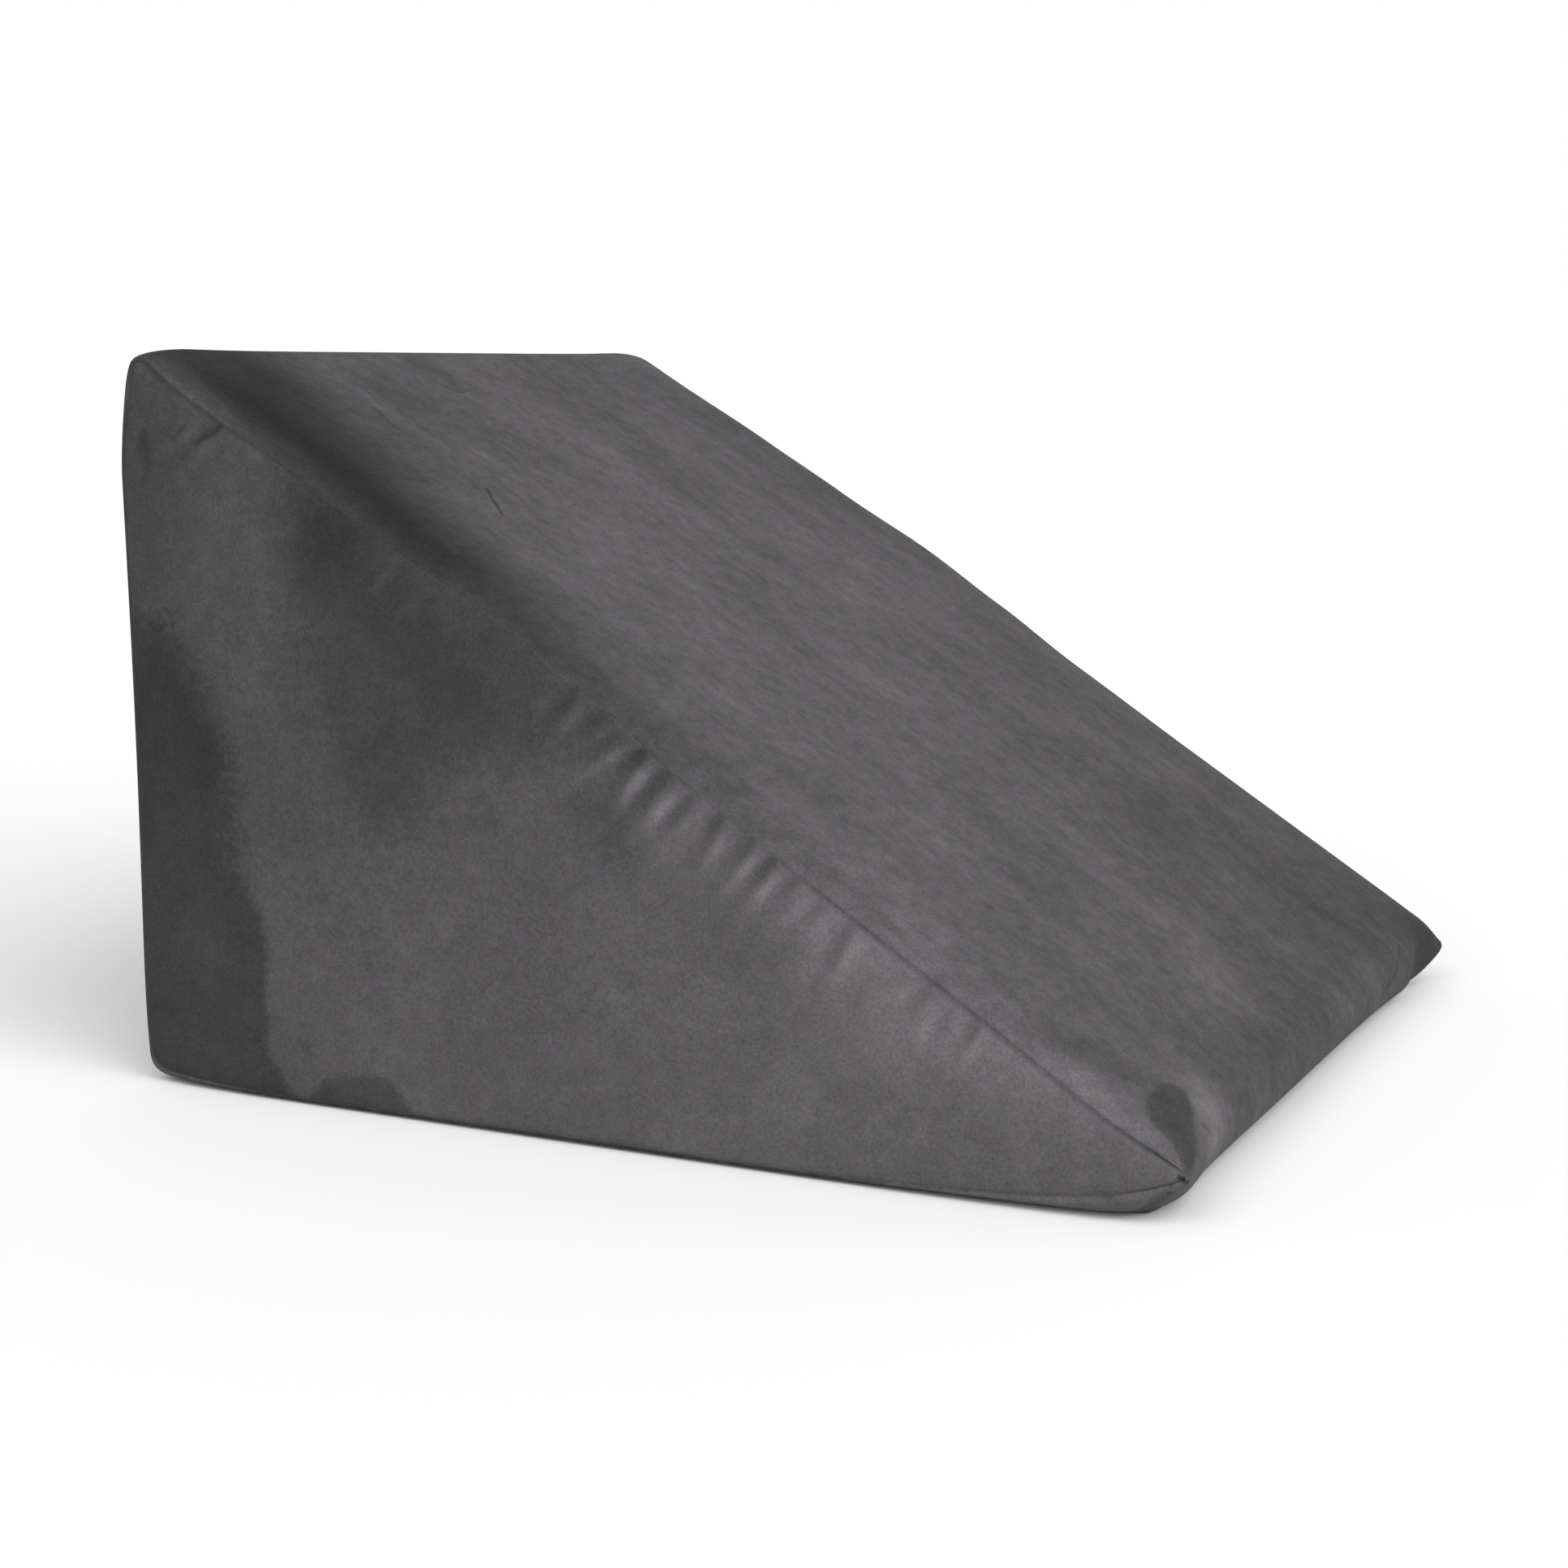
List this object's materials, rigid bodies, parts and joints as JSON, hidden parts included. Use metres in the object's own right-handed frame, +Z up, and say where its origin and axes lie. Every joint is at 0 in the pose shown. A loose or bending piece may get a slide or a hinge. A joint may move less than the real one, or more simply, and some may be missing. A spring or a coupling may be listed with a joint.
{
  "type": "wedge pillow",
  "caption": "Foam wedge cushion in a soft dark grey suede-like cover, right-angled at the back, with a blunt rounded toe and gathered side seams.",
  "frame": {"origin": "on the floor, under the middle of the cushion's overall box", "axes": "+X from the upright back to the toe, +Y from the gathered end that faces the camera to the other end, +Z up"},
  "size_m": [0.6026, 0.576, 0.3997],
  "materials": {
    "cover": "dark grey suede-like nap, matt with a soft sheen at grazing angles"
  },
  "bodies": {
    "root": {"wedge_cushion": "cover"}
  },
  "joints": []
}
